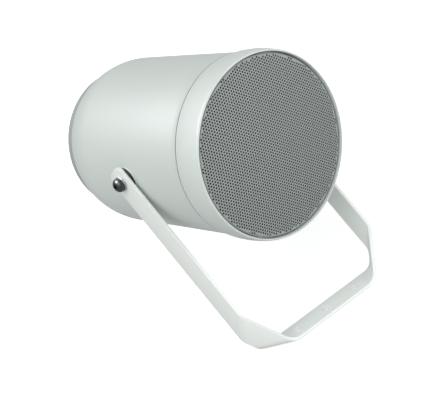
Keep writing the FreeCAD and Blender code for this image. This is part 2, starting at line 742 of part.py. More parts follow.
def make_frame():
    rim = "(driver_radius - flange_wide)"
    basket = turned("basket", [
        (f"{COIL_OUTSIDE} + shelf_wide", PLATE_FRONT),
        (THROAT_INSIDE, PLATE_FRONT),
        (THROAT_INSIDE, f"{SHELF} - basket_sheet"),
        ("basket_throat", f"{SHELF} - basket_sheet"),
        (rim, FLANGE_BACK),
        ("driver_radius", FLANGE_BACK),
        ("driver_radius", FLANGE_FRONT),
        (f"{rim} - basket_sheet", FLANGE_FRONT),
        ("basket_throat - basket_sheet", SHELF),
        (f"{THROAT_INSIDE} - basket_sheet", SHELF),
        (f"{THROAT_INSIDE} - basket_sheet", f"{PLATE_FRONT} + basket_sheet"),
        (f"{COIL_OUTSIDE} + shelf_wide", f"{PLATE_FRONT} + basket_sheet"),
    ])
    place(basket, FORWARD)
    tools = []
    low = f"({SHELF} + basket_sheet)"
    deep = f"({FLANGE_BACK} - {low} - basket_sheet)"
    for i in range(WINDOW_COUNT):
        window = doc.addObject("Part::Box", "window")
        window.setExpression("Length", sized("driver_radius"))
        window.setExpression("Width", sized("window_wide"))
        window.setExpression("Height", sized(deep))
        angle = 360 * i / WINDOW_COUNT
        place(window, FORWARD.multiply(Rotation(Vector(0, 0, 1), angle)),
              f"window_wide / 2 * sin({angle} deg)", f"-window_wide / 2 * cos({angle} deg)", low)
        tools.append(window)
    hole = "screw_shank + screw_clear"
    for across, up in round_axis(DRIVER_SCREWS, SCREW_COUNT):
        tools.append(cylinder("flange_hole", hole, "flange_thick", FORWARD, across, up, FLANGE_BACK))
    finished(cut("frame", basket, tools), "driver_basket")
    gasket = ring("gasket", f"{DRIVER_BORE} + fit_gap", "driver_radius", BAFFLE, FLANGE_BACK)
    place(gasket, FORWARD)
    holes = []
    for across, up in round_axis(DRIVER_SCREWS, SCREW_COUNT):
        holes.append(cylinder("gasket_hole", hole, "gasket_thick", FORWARD, across, up, BAFFLE))
    finished(cut("gasket_ring", gasket, holes), "driver_gasket")


def make_magnet():
    gap = f"({COIL_OUTSIDE} + coil_gap)"
    top = ring("top_washer", gap, "plate_radius", MAGNET_FRONT, PLATE_FRONT)
    finished(place(top, FORWARD), "magnet_top_plate")
    magnet = ring("ferrite", "magnet_bore", "magnet_radius", MAGNET_BACK, MAGNET_FRONT)
    finished(place(magnet, FORWARD), "magnet_ring")
    pole = "(coil_bore - coil_gap)"
    yoke = turned("yoke", [
        ("0", f"{MAGNET_BACK} - plate_thick"),
        ("plate_radius", f"{MAGNET_BACK} - plate_thick"),
        ("plate_radius", MAGNET_BACK),
        (pole, MAGNET_BACK),
        (pole, PLATE_FRONT),
        ("0", PLATE_FRONT),
    ])
    finished(place(yoke, FORWARD), "pole_yoke")


def make_cone():
    former = "(coil_bore + former_thick)"
    low = f"({PLATE_FRONT} - plate_thick / 2 - winding_high / 2)"
    coil = turned("voice_winding", [
        ("coil_bore", low),
        (COIL_OUTSIDE, low),
        (COIL_OUTSIDE, f"{low} + winding_high"),
        (former, f"{low} + winding_high"),
        (former, NECK),
        ("coil_bore", NECK),
    ])
    finished(place(coil, FORWARD), "voice_coil")
    cone = turned("paper_cone", [
        ("coil_bore", NECK),
        ("coil_bore + cone_thick", NECK),
        (CONE_RADIUS, f"{CONE_FRONT} - cone_thick"),
        (CONE_RADIUS, CONE_FRONT),
        (f"{CONE_RADIUS} - cone_thick", CONE_FRONT),
        ("coil_bore", f"{NECK} + cone_thick"),
    ])
    finished(place(cone, FORWARD), "speaker_cone")
    slope = f"(({CONE_FRONT} - {NECK}) / ({CONE_RADIUS} - coil_bore))"
    seat = f"({NECK} + cone_thick + (cap_radius - coil_bore) * {slope} + soft_gap)"
    dome = "((cap_radius^2 + cap_rise^2) / (2 * cap_rise))"
    cap = turned("cap", [
        ("cap_radius", seat, dome, 1),
        ("0", f"{seat} + cap_rise"),
        ("0", f"{seat} + cap_rise + soft_thick", dome, -1),
        ("cap_radius", f"{seat} + soft_thick"),
    ])
    finished(place(cap, FORWARD), "dust_cap")


def make_suspension():
    top = f"({FLANGE_FRONT} + soft_thick)"
    middle = f"({ROLL_INSIDE} + roll_wide / 2)"
    dip = "sqrt(roll_arc^2 - roll_wide^2 / 4)"
    reach = f"sqrt((roll_arc + soft_thick)^2 - ({dip} + soft_thick)^2)"
    roll = turned("roll", [
        (f"{ROLL_INSIDE} - glue_wide", FLANGE_FRONT),
        (ROLL_INSIDE, FLANGE_FRONT, "roll_arc", 1),
        (ROLL_OUTSIDE, FLANGE_FRONT),
        (f"{ROLL_OUTSIDE} + glue_wide", FLANGE_FRONT),
        (f"{ROLL_OUTSIDE} + glue_wide", top),
        (f"{middle} + {reach}", top, "roll_arc + soft_thick", -1),
        (f"{middle} - {reach}", top),
        (f"{ROLL_INSIDE} - glue_wide", top),
    ])
    finished(place(roll, FORWARD), "cone_surround")
    inner = "(coil_bore + former_thick + soft_gap)"
    wide = f"((basket_throat - basket_sheet - soft_gap) - {inner})"
    edges = [(f"{inner} + {wide} * {i / SPIDER_FOLDS}", f"{SHELF} + spider_waves * {i % 2}")
             for i in range(SPIDER_FOLDS + 1)]
    back = [(radius, f"{height} + soft_thick") for radius, height in reversed(edges)]
    spider = turned("corrugated_spider", edges + back)
    finished(place(spider, FORWARD), "cone_spider")


# Line transformer and terminals, carried by the rear cover
TRAFO_BACK = f"(trafo_pad - {COVER_INSIDE})"
POLE_PITCH = "(2 * (pole_radius + screw_head + well_wall))"
TRAFO_SCREW = "(core_wide / 2 + fit_gap + frame_sheet + foot_long / 2)"


def make_transformer():
    front = f"({TRAFO_BACK} + core_tall)"
    low = "(trafo_up - core_stack / 2)"
    core = block("stack", "core_wide", "core_tall", "core_stack", "-core_wide / 2", low, front)
    windows = []
    for side in (-2, 1):
        windows.append(block("core_window", "limb_wide", "core_tall - 2 * limb_wide", "core_stack",
                             f"limb_wide * {side}", low, f"{front} - limb_wide"))
    finished(cut("core", core, windows), "transformer_core")
    wide = "(4 * limb_wide - 2 * coil_clear)"
    deep = "(core_tall - 2 * limb_wide - 2 * coil_clear)"
    coil = block("bobbin", wide, deep, "core_stack + 2 * coil_stand", f"-{wide} / 2", f"{low} - coil_stand",
                 f"{front} - limb_wide - coil_clear")
    limb = block("limb_space", "2 * limb_wide + 2 * coil_clear", deep, "core_stack + 2 * coil_clear",
                 "-limb_wide - coil_clear", f"{low} - coil_clear", f"{front} - limb_wide - coil_clear")
    finished(cut("winding", coil, [limb]), "transformer_coil")
    inner = "(core_wide + 2 * fit_gap)"
    channel = block("channel", f"{inner} + 2 * frame_sheet", "core_tall + fit_gap + frame_sheet", "core_stack",
                    f"-{inner} / 2 - frame_sheet", low, f"{front} + fit_gap + frame_sheet")
    hollow = block("channel_hollow", inner, "core_tall + fit_gap", "core_stack", f"-{inner} / 2", low,
                   f"{front} + fit_gap")
    feet = block("channel_feet", f"{inner} + 2 * frame_sheet + 2 * foot_long", "frame_sheet", "core_stack",
                 f"-{inner} / 2 - frame_sheet - foot_long", low, f"{TRAFO_BACK} + frame_sheet")
    tools = [hollow]
    for side in (-1, 1):
        tools.append(cylinder("foot_hole", "screw_shank + screw_clear", "frame_sheet", FORWARD,
                              f"{side} * {TRAFO_SCREW}", "trafo_up", TRAFO_BACK))
    finished(cut("trafo_frame", fused("channel_with_feet", [channel, feet]), tools), "transformer_frame")


def make_terminals():
    front = f"(terminal_deep - {COVER_INSIDE})"
    wide = f"(2 * {POLE_PITCH} + 2 * terminal_side)"
    body = block("ceramic", wide, "terminal_deep", "terminal_tall", f"-{wide} / 2",
                 "-terminal_down - terminal_tall / 2", front)
    tools, screws = [], []
    for step in (-1, 0, 1):
        across = f"{step} * {POLE_PITCH}"
        tools.append(cylinder("screw_well", "pole_radius + screw_clear", "terminal_deep / 2", BACKWARD, across,
                              "-terminal_down", front))
        wire = cylinder("wire_hole", "pole_radius / 2", "terminal_tall", UPRIGHT, across,
                        "-terminal_down - terminal_tall / 2", f"{front} - terminal_deep / 2")
        tools.append(wire)
        screws.append(cylinder("terminal_screw", "pole_radius", "terminal_deep / 4", BACKWARD, across,
                               "-terminal_down", f"{front} - terminal_deep / 8"))
    for side in (-1, 1):
        across = f"{side} * {POLE_PITCH} / 2"
        tools.append(cylinder("mount_hole", "screw_shank + screw_clear", "terminal_deep", BACKWARD, across,
                              "-terminal_down", front))
        tools.append(cylinder("mount_well", "screw_head + screw_clear", "terminal_deep / 2", BACKWARD, across,
                              "-terminal_down", front))
    finished(cut("terminals", body, tools), "terminal_block")
    finished(group("pole_screws", screws), "terminal_screws")


def make_gland():
    down = "-gland_down"
    flange = hexagon("gland_hex", "gland_nut", "gland_flange", BACKWARD, "0", down, f"-{COVER_BACK}")
    long = "(gland_stub + gland_flange + cover_wall + 2 * locknut_thick)"
    stem_front = f"(2 * locknut_thick - {COVER_INSIDE})"
    stem = cylinder("gland_stem", "gland_radius", long, BACKWARD, "0", down, stem_front)
    bore = cylinder("gland_way", "gland_bore", long, BACKWARD, "0", down, stem_front)
    finished(cut("gland", fused("gland_outside", [flange, stem]), [bore]), "gland_body")
    locknut = hexagon("locknut_hex", "gland_nut", "locknut_thick", FORWARD, "0", down, f"-{COVER_INSIDE}")
    thread = cylinder("locknut_bore", "gland_radius + running_gap", "locknut_thick", FORWARD, "0", down,
                      f"-{COVER_INSIDE}")
    finished(cut("locknut", locknut, [thread]), "gland_locknut")
    start = f"-({COVER_BACK} + gland_flange + fit_gap)"
    cap = hexagon("cap_hex", "gland_nut", "gland_cap * 2 / 3", BACKWARD, "0", down, start)
    dome = doc.addObject("Part::Cone", "cap_dome")
    dome.setExpression("Radius1", sized("gland_nut * cos(30 deg)"))
    dome.setExpression("Radius2", sized("gland_radius"))
    dome.setExpression("Height", sized("gland_cap / 3"))
    place(dome, BACKWARD, "0", down, f"{start} - gland_cap * 2 / 3")
    inside = cylinder("cap_bore", "gland_radius + running_gap", "gland_stub", BACKWARD, "0", down, start)
    mouth = cylinder("cap_mouth", "gland_bore", "gland_cap", BACKWARD, "0", down, start)
    finished(cut("dome_nut", fused("cap_outside", [cap, dome]), [inside, mouth]), "gland_dome_nut")
    sleeve = cylinder("sleeve", "gland_bore - running_gap", "gland_stub", BACKWARD, "0", down, start)
    way = cylinder("sleeve_way", "cable_bore", "gland_stub", BACKWARD, "0", down, start)
    finished(cut("gland_sleeve", sleeve, [way]), "gland_seal")


make_bracket()
make_shell()
make_bezel()
make_grille()
make_cloth()
make_rear()
make_fasteners()
make_pivot("left", TO_LEFT)
make_pivot("right", TO_RIGHT)
make_frame()
make_magnet()
make_cone()
make_suspension()
make_transformer()
make_terminals()
make_gland()
doc.recompute()

for item in doc.Objects:
    if "Invalid" in item.State or "Error" in item.State:
        raise RuntimeError(f"{item.Name} did not rebuild: {item.State}")
for node in nodes:
    if node.Shape.isNull() or not node.Shape.isValid():
        raise RuntimeError(f"{node.Label} has no valid shape")

os.makedirs("parts", exist_ok=True)
for node in nodes:
    node.Shape.exportStep(os.path.join("parts", node.Label + ".step"))
    box = node.Shape.BoundBox
    print(f"{node.Label:24s} {len(node.Shape.Solids)} solids, {node.Shape.Volume / 1000:8.2f} cm3, "
          f"x {box.XMin:7.1f} {box.XMax:6.1f}  y {box.YMin:7.1f} {box.YMax:6.1f}  z {box.ZMin:6.1f} {box.ZMax:6.1f}")
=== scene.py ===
"""Sound projector speaker: the look of its moulded housing, perforated grille and folded bracket.

Lengths are in millimetres until a mesh is made. A place on the speaker is across (+X), up (+Z) and
ahead of the pivot (-Y).
"""
import math

import bmesh
import bpy
from mathutils import Matrix, Vector


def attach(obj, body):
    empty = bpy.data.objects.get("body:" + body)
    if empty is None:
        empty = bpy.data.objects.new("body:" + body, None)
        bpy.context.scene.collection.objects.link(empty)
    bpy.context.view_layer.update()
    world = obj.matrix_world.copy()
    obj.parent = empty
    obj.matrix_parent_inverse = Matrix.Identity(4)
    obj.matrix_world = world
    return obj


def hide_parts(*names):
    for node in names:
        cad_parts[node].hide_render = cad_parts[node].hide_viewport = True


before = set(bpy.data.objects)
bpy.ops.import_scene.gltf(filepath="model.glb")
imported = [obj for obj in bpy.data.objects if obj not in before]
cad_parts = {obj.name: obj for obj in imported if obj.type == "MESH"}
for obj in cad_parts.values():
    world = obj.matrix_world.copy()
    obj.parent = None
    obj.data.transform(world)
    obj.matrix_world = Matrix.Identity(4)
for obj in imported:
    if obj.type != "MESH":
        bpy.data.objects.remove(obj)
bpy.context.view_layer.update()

MM = 0.001
PIVOT = Vector((0, 122.3, 184.2))

# Housing outside: shoulder and rear lie behind the pivot, all other places ahead of it
PIVOT_RADIUS = 87.7
TAPER = 0.0197
SHOULDER_START = 66
SHOULDER_ARC = 85
SHELL_REAR = 107
SHELL_REAR_EDGE = 0.6
FLARE_START = 84
FLARE_RISE = 1.3
FLARE_ARC = 41
SEAM = 93.5
SEAM_GAP = 0.9
SEAM_LAND = 0.4
SEAM_UNDERCUT = 1.6
SEAM_EDGE = 0.2
BULGE_ARC = 91
BULGE_END = 127.7
LIP_FRONT = 128.5
LIP_RISE = 0.6
LIP_THICK = 1.7
LIP_FLAT = 0.5
LIP_ROUND = 3.2
LIP_ROUND_DEEP = 2.8
LIP_BORE_EDGE = 0.2

# Housing inside: the collar lies behind the pivot, all other places ahead of it
WALL = 3.5
SPIGOT_RADIUS = 88.6
SPIGOT_BORE = 84.2
SPIGOT_END = 97.5
SPIGOT_CLEARANCE = 0.2
BAFFLE_FRONT = 92
BAFFLE_BACK = 88
BAFFLE_BORE = 70
COLLAR_FRONT = 98.7
COLLAR_BACK = 102.7
COLLAR_BORE = 56
BEZEL_BORE = 86.2
GRILLE_SEAT = 119
SEAT_WIDTH = 5.5
SEAT_THICK = 3

# Bezel finish: roughness of the ring and of its lip, which is smooth from this far behind its front
BEZEL_ROUGH = 0.68
LIP_ROUGH = 0.42
LIP_SMOOTH_FROM = 2

# Grille sheet
GRILLE_RADIUS = 87.85
GRILLE_EDGE = 126
DOME_RISE = 6.5
DOME_RADIUS = (GRILLE_RADIUS**2 + DOME_RISE**2) / (2 * DOME_RISE)
SHEET = 1
HOLE_PITCH = 3
HOLE_RADIUS = 1.1
HOLE_TURN = math.radians(20)
HOLES_WITHIN = 85.8
RIM_ROUND = 1
RIM_LAP = 0.4
RIM_INSIDE = 2

# Bracket bar
BAR_WIDTH = 27
BAR_THICK = 3.5
BAR_EDGE = 0.45
BEND_RADIUS = 9
CORNER_FLAT = 4.3
FOLD_ANGLE = math.radians(76)
LEAST_SKEW = math.radians(1)
MOST_SKEW = math.radians(75)
ARM_INSIDE = 91.6
ARM_END = 15
ARM_CORNER = 8
FOOT_HOLE_RADIUS = 4.5
FOOT_HOLE_EDGE = 7.74
PIVOT_HOLE_RADIUS = 4.1

# Pivot hardware, places along X from the middle
RUNNING_BORE = 4.1
BOSS_RADIUS = 14.5
BOSS_ROOT = 84
BOSS_FACE = 88.3
BOSS_EDGE = 0.4
PAD_RADIUS = 14
PAD_FACE = 91.3
WASHER_RADIUS = 8
WASHER_FACE = 95.4
RING_EDGE = 0.3
LOCK_RADIUS = 6.9
LOCK_FACE = 97
LOCK_GAP = math.radians(7)
LOCK_SLANT = 0.05
HEAD_RADIUS = 7
HEAD_FACE = 99
HEAD_RIM = 1.2
HEAD_TOP = 103.4
HEAD_FLAT = 3.6
HEAD_ARC = 4.9
SOCKET_RADIUS = 2.9
SOCKET_DEEP = 2.6
BOLT_RADIUS = 4
BOLT_END = 74.3
BOLT_CHAMFER = 0.6

# Rear cover, places behind the pivot
COVER_FLANGE = 108
COVER_BACK = 119.5
COVER_END = 102.9
COVER_INSET = 1.5
COVER_DRAFT = 1.3
COVER_WALL = 3.5
COVER_SKIRT = 3.2
COVER_ROUND = 3
COVER_EDGE = 0.4

# Cover screws; the cross recess has a height above the seat, a half length and a half width at each level
SCREW_TURNS = (45, 135, 225, 315)
SCREW_INSET = 6.2
SCREW_SINK = 2.6
SINK_RADIUS = 3.7
SCREW_HOLE = 2
SCREW_HEAD = 3.5
SCREW_RIM = 0.9
SCREW_CROWN = 2.3
SCREW_DOME = 5.2
SCREW_SHANK = 1.9
SCREW_TIP = 92.7
POINT_INSET = 0.5
POINT_LONG = 1
CROSS_LEVELS = ((0.9, 1.55, 0.395), (3, 2.6, 0.5))

# Cable gland: heights from the cover's back, on the dome nut from its own foot. The crown is turned
# through these radii and heights
GLAND_DOWN = 42
GLAND_HOLE = 8.1
GLAND_BORE = 5
STEM_RADIUS = 8
STEM_LONG = 11.4
STEM_LAP = 2
HEX_RADIUS = 12.7
HEX_CLEAR = 0.3
HEX_FACE = 11.6
FLANGE_THICK = 5
FLANGE_CHAMFER = 1
NUT_FOOT = 5.2
NUT_CHAMFER = 0.9
NUT_HEX = 8.4
NUT_CROWN = ((10.9, 9.4), (9.6, 12.2), (8, 13.6), (6, 14))
NUT_TOP = 14
NUT_THREAD = 10

# Meshes: a cut goes this far past a face, and points nearer than the touch, in metres, are one
CUT_PAST = 1
TOUCH = 1e-6

# Camera, where the photograph was taken from
CAMERA_PLACE = Vector((-783.92, -1040.12, 608.66))
CAMERA_TURN = math.radians(34.026)
CAMERA_DOWN = math.radians(19.664)
CAMERA_ROLL = math.radians(20.361)
CAMERA_LENS = 119.07
CAMERA_SENSOR = 36
CAMERA_SIGHT = 50000

# Studio
ROOM_FRONT = 0.66
ROOM_BACK = 0.46
KEY_LIGHT = 1.75
KEY_WIDTH = math.radians(60)
KEY_FROM = (-0.73, -0.35, 0.6)
FILL_LIGHT = 1.4
FILL_WIDTH = math.radians(50)
FILL_FROM = (0.5, -0.86, 0.08)
BACK_LIGHT = 0.8
BACK_WIDTH = math.radians(70)
BACK_FROM = (0.6, 0.8, -0.1)
SHEEN_POWER = 8.2
SHEEN_SIZE = 400
SHEEN_PLACE = Vector((-345, 270, 590))
FLOOR_REACH = 20000
FLOOR_DROP = 0.6
FLOOR_GLOW = 0.35
WHITE = (1, 1, 1, 1)


def colour(code):
    """Linear RGBA of an sRGB hex colour."""
    channels = [int(code[i:i + 2], 16) / 255 for i in (1, 3, 5)]
    return [c / 12.92 if c <= 0.04045 else ((c + 0.055) / 1.055) ** 2.4 for c in channels] + [1]


def add(tree, kind, settings=None, links=None):
    """Adds a shader node, sets its fields and sockets, and links other nodes' outputs into it."""
    made = tree.nodes.new(kind)
    for name, value in (settings or {}).items():
        if name in made.inputs:
            made.inputs[name].default_value = value
        else:
            setattr(made, name, value)
    for name, output in (links or {}).items():
        tree.links.new(output, made.inputs[name])
    return made


def finish(name, base, roughness, metallic=0, patch=None, grain=None):
    """A solid finish.

    patch is the (colour, size) of faint blotches, grain the (size, depth) of a fine relief.
    """
    material = bpy.data.materials.new(name)
    material.use_nodes = True
    tree = material.node_tree
    shader = tree.nodes["Principled BSDF"]
    shader.inputs["Base Color"].default_value = colour(base)
    shader.inputs["Roughness"].default_value = roughness
    shader.inputs["Metallic"].default_value = metallic
    place = {"Vector": add(tree, "ShaderNodeTexCoord").outputs["Object"]}
    if patch:
        tint, size = patch
        blotch = add(tree, "ShaderNodeTexNoise", {"Scale": 1 / (size * MM), "Detail": 3}, place)
        mix = add(tree, "ShaderNodeMix", {"data_type": "RGBA"}, {"Factor": blotch.outputs["Fac"]})
        # sockets 6, 7 and 2 are the colours A, B and Result, whose names other sockets have too
        mix.inputs[6].default_value = colour(base)
        mix.inputs[7].default_value = colour(tint)
        tree.links.new(mix.outputs[2], shader.inputs["Base Color"])
    if grain:
        size, depth = grain
        noise = add(tree, "ShaderNodeTexNoise", {"Scale": 1 / (size * MM), "Detail": 2}, place)
        relief = {"Strength": 1, "Distance": depth * MM}
        bump = add(tree, "ShaderNodeBump", relief, {"Height": noise.outputs["Fac"]})
        tree.links.new(bump.outputs["Normal"], shader.inputs["Normal"])
    return material


def smooth_lip(material):
    """The bezel's lip is rubbed smooth by hands and cloths, so it takes a brighter line of light."""
    tree = material.node_tree
    place = add(tree, "ShaderNodeTexCoord").outputs["Object"]
    way = add(tree, "ShaderNodeSeparateXYZ", links={"Vector": place})
    front = (PIVOT.y - LIP_FRONT) * MM
    span = {"From Min": front + LIP_ROUND_DEEP * MM, "From Max": front + LIP_SMOOTH_FROM * MM,
            "To Min": BEZEL_ROUGH, "To Max": LIP_ROUGH}
    rubbed = add(tree, "ShaderNodeMapRange", span, {"Value": way.outputs["Y"]})
    tree.links.new(rubbed.outputs["Result"], tree.nodes["Principled BSDF"].inputs["Roughness"])


# Moulded ABS: an even, slightly green light grey with a soft, broad sheen from a spark-eroded mould.
# The mould's grain is about 0.1 mm and is drawn at 0.5 mm, so that it shows
HOUSING_ABS = finish("housing moulded ABS", "#c7cfcb", 0.5, patch=("#c4ccc8", 40), grain=(0.5, 0.006))
# The bezel comes from a coarser mould, so its gleam is broader and fainter
BEZEL_ABS = finish("bezel moulded ABS", "#c7cfcb", BEZEL_ROUGH, patch=("#c4ccc8", 40), grain=(0.5, 0.006))
smooth_lip(BEZEL_ABS)
# The rear cap's grey is a shade darker than the body's
CAP_ABS = finish("rear cap moulded ABS", "#9aa19d", 0.5, patch=("#979e9a", 40), grain=(0.5, 0.006))
# Powder coat on the bar: a lighter grey, a little glossier, with a faint orange peel
BRACKET_COAT = finish("powder-coated steel bar", "#dee3e0", 0.42, patch=("#dbe0dd", 25), grain=(1.6, 0.012))
# Powder coat on the grille: the sheet between its holes is a darker, greyer grey than the bar's coat
GRILLE_COAT = finish("powder-coated perforated steel", "#8a908d", 0.48, grain=(1.2, 0.008))
# Acoustic cloth: the matt black that shows through the holes, its weave drawn at twice its real 0.2 mm
CLOTH = finish("black acoustic cloth", "#171918", 0.95, grain=(0.4, 0.05))
# Black oxide: dark steel with an oily gleam, its tool marks drawn coarser than the real 0.2 mm
BLACK_OXIDE = finish("black oxide steel", "#484e4b", 0.3, metallic=0.85, grain=(0.8, 0.004))
# Bright zinc: cool, clean and softly reflecting, with a faint spangle
ZINC = finish("zinc-plated steel", "#b9bdbd", 0.45, metallic=1, patch=("#a9aeb0", 3))
# Grey nylon: pale, waxy and matt
NYLON = finish("grey nylon", "#b3bab6", 0.55, patch=("#adb4b0", 8))
# Black nylon: the friction pads, a dull dark line between arm and housing
PAD_NYLON = finish("black nylon", "#1a1c1b", 0.65, patch=("#202221", 6))
# Moulded rubber: deep black and dull, its tooth drawn coarser than the real 0.1 mm
RUBBER = finish("black rubber", "#161616", 0.75, grain=(0.6, 0.02))
# Stoved paint on pressed steel: black and half glossy, with a slight peel
BASKET_PAINT = finish("black painted pressed steel", "#181818", 0.45, grain=(1, 0.01))
# Ferrite, sintered and ground: slate grey, blotched where the wheel has passed
FERRITE = finish("sintered ferrite", "#3a3b3e", 0.6, patch=("#2f3033", 4))
# Stacked core sheets under varnish: dark grey with a dull metal gleam
CORE_STEEL = finish("varnished core sheets", "#55565a", 0.5, metallic=0.6, patch=("#46474b", 2))
# Enamelled wire, wound in layers: glossy red-brown, uneven from turn to turn
COPPER = finish("enamelled copper wire", "#8a4a24", 0.35, metallic=0.8, patch=("#6e3a1c", 1))
# Pressed paper pulp: matt black with grey fibres
PAPER = finish("black paper pulp", "#202020", 0.9, patch=("#2a2a2a", 3), grain=(0.7, 0.05))
# Cotton stiffened with resin: yellow-brown and matt, with the tooth of its weave
SPIDER_CLOTH = finish("resin-stiffened cotton", "#b08a4c", 0.85, grain=(0.6, 0.06))
# Turned brass: a yellow gleam, a little uneven where the tool has passed
BRASS = finish("turned brass", "#b08d4a", 0.3, metallic=1, patch=("#a6843f", 2))
# Steatite, pressed and fired: a chalky warm white, its grain drawn coarser than the real 0.1 mm
CERAMIC = finish("white steatite", "#e2ded2", 0.7, grain=(0.8, 0.02))

NODE_FINISHES = [
    (BRACKET_COAT, ["mounting_bracket"]),
    (HOUSING_ABS, ["housing_shell"]),
    (BEZEL_ABS, ["front_bezel"]),
    (CAP_ABS, ["rear_cover"]),
    (GRILLE_COAT, ["front_grille"]),
    (CLOTH, ["dust_cloth"]),
    (RUBBER, ["rear_seal", "driver_gasket", "cone_surround", "gland_seal"]),
    (ZINC, ["rear_cover_screws", "driver_screws", "transformer_screws", "terminal_mount_screws",
            "plain_washer_left", "plain_washer_right", "transformer_frame", "magnet_top_plate",
            "pole_yoke"]),
    (BLACK_OXIDE, ["lock_washer_left", "lock_washer_right", "pivot_bolt_left", "pivot_bolt_right"]),
    (BASKET_PAINT, ["driver_basket"]),
    (FERRITE, ["magnet_ring"]),
    (CORE_STEEL, ["transformer_core"]),
    (COPPER, ["transformer_coil", "voice_coil"]),
    (PAPER, ["speaker_cone", "dust_cap"]),
    (SPIDER_CLOTH, ["cone_spider"]),
    (PAD_NYLON, ["friction_pad_left", "friction_pad_right"]),
    (BRASS, ["pivot_insert_left", "pivot_insert_right", "terminal_screws"]),
    (CERAMIC, ["terminal_block"]),
    (NYLON, ["gland_body", "gland_locknut", "gland_dome_nut"]),
]
for node_finish, node_names in NODE_FINISHES:
    for node_name in node_names:
        node_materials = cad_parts[node_name].data.materials
        node_materials.clear()
        node_materials.append(node_finish)


def new_piece(name, vertices, faces, material, smooth_angle=35):
    """A mesh piece from points in the row frame, in millimetres."""
    mesh = bpy.data.meshes.new(name)
    mesh.from_pydata([Vector(v) * MM for v in vertices], [], faces)
    mesh.validate()
    mesh.shade_smooth()
    mesh.set_sharp_from_angle(angle=math.radians(smooth_angle))
    mesh.materials.append(material)
    piece = bpy.data.objects.new(name, mesh)
    bpy.context.scene.collection.objects.link(piece)
    return piece


def tidy_mesh(mesh):
    """Joins doubled points, drops faces without area and turns the rest outwards."""
    work = bmesh.new()
    work.from_mesh(mesh)
    bmesh.ops.remove_doubles(work, verts=work.verts, dist=TOUCH)
    bmesh.ops.dissolve_degenerate(work, edges=work.edges, dist=TOUCH)
    bmesh.ops.recalc_face_normals(work, faces=work.faces)
    work.to_mesh(mesh)
    work.free()


def stands_for(piece, body, slot, *nodes):
    """Puts a piece on its body and hides the nodes that it stands for. The slot, its finish's name, is not
    used.
    """
    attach(piece, body)
    if nodes:
        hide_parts(*nodes)


def arc(start, end, radius, side, steps):
    """Points after start, up to end, of an arc that bows to the left (side 1) or right (-1) of the way."""
    a, b = Vector(start), Vector(end)
    chord = b - a
    left = Vector((-chord.y, chord.x)).normalized()
    height = math.sqrt(radius**2 - chord.length_squared / 4)
    centre = (a + b) / 2 - left * (side * height)
    first = math.atan2(a.y - centre.y, a.x - centre.x)
    turn = -side * 2 * math.asin(chord.length / 2 / radius)
    angles = [first + turn * i / steps for i in range(1, steps + 1)]
    return [(centre.x + radius * math.cos(t), centre.y + radius * math.sin(t)) for t in angles]


def eased(points, radii, steps=4):
    """A closed outline with the corners named in radii rounded off."""
    out = []
    count = len(points)
    for i, point in enumerate(points):
        if i not in radii:
            out.append(point)
            continue
        here = Vector(point)
        to_last = (Vector(points[i - 1]) - here).normalized()
        to_next = (Vector(points[(i + 1) % count]) - here).normalized()
        half = to_last.angle(to_next) / 2
        reach = radii[i] / math.tan(half)
        start, end = here + to_last * reach, here + to_next * reach
        side = 1 if to_last.cross(to_next) > 0 else -1
        out.append(tuple(start))
        out.extend(arc(start, end, radii[i], side, steps))
    return out


def lathe(name, outline, material, to_row, segments=192, closed=True, smooth_angle=35):
    """Turns an outline of (radius, place) about an axis that to_row puts in the row frame."""
    turns = [2 * math.pi * i / segments for i in range(segments)]
    vertices = [to_row(r * math.cos(t), r * math.sin(t), place) for t in turns for r, place in outline]
    count = len(outline)
    faces = []
    for i in range(segments):
        j = (i + 1) % segments
        for k in range(count if closed else count - 1):
            m = (k + 1) % count
            corners = [i * count + k, j * count + k, j * count + m, i * count + m]
            if outline[k][0] == 0:
                corners.pop(0)
            elif outline[m][0] == 0:
                corners.pop(2)
            if outline[k][0] or outline[m][0]:
                faces.append(corners)
    piece = new_piece(name, vertices, faces, material, smooth_angle)
    tidy_mesh(piece.data)
    return piece


def disc(radius, back, front, to_row, segments=50):
    """A plain cylinder to cut with or to add. 50 sides keep its corners off the seams of what it meets."""
    outline = [(0, back), (radius, back), (radius, front), (0, front)]
    return lathe("cutter", outline, CLOTH, to_row, segments)


def carve(piece, cutters, operation="DIFFERENCE", smooth_angle=35):
    """Cuts the cutters out of a piece. INTERSECT keeps only what they share, UNION adds them to it."""
    for cutter in cutters:
        step = piece.modifiers.new("cut", "BOOLEAN")
        step.solver = "EXACT"
        step.operation = operation
        step.object = cutter
    cut_piece = piece.evaluated_get(bpy.context.evaluated_depsgraph_get())
    carved = bpy.data.meshes.new_from_object(cut_piece)
    tidy_mesh(carved)
    piece.modifiers.clear()
    material = piece.data.materials[0]
    piece.data = carved
    carved.materials.clear()
    carved.materials.append(material)
    carved.shade_smooth()
    carved.set_sharp_from_angle(angle=math.radians(smooth_angle))
    for cutter in cutters:
        bpy.data.objects.remove(cutter)


def ahead(across, up, forward):
    """A place on the speaker's axis or round it, ahead of the pivot."""
    return Vector((across, PIVOT.y - forward, PIVOT.z + up))


def behind(across, up):
    """Places behind the pivot, round an axis that lies that far from the speaker's."""
    return lambda a, b, back: Vector((across + a, PIVOT.y + back, PIVOT.z + up + b))


def sideways(side):
    """Places along the pivot's axis, to the left (-1) or the right (1)."""
    return lambda a, b, out: Vector((side * out, PIVOT.y + a, PIVOT.z + b))


def upright(across):
    """Places up through the bracket's foot, round an axis that far from its middle."""
    return lambda a, b, up: Vector((across + a, b, up))


def outer(place):
    """Radius of the tapered body at a place ahead of the pivot."""
    return PIVOT_RADIUS + place * TAPER


def shoulder(back, inset=0):
    """Radius of the rounded shoulder at a place behind the pivot."""
    centre = outer(-SHOULDER_START) - SHOULDER_ARC
    return centre + math.sqrt((SHOULDER_ARC - inset) ** 2 - (back - SHOULDER_START) ** 2)


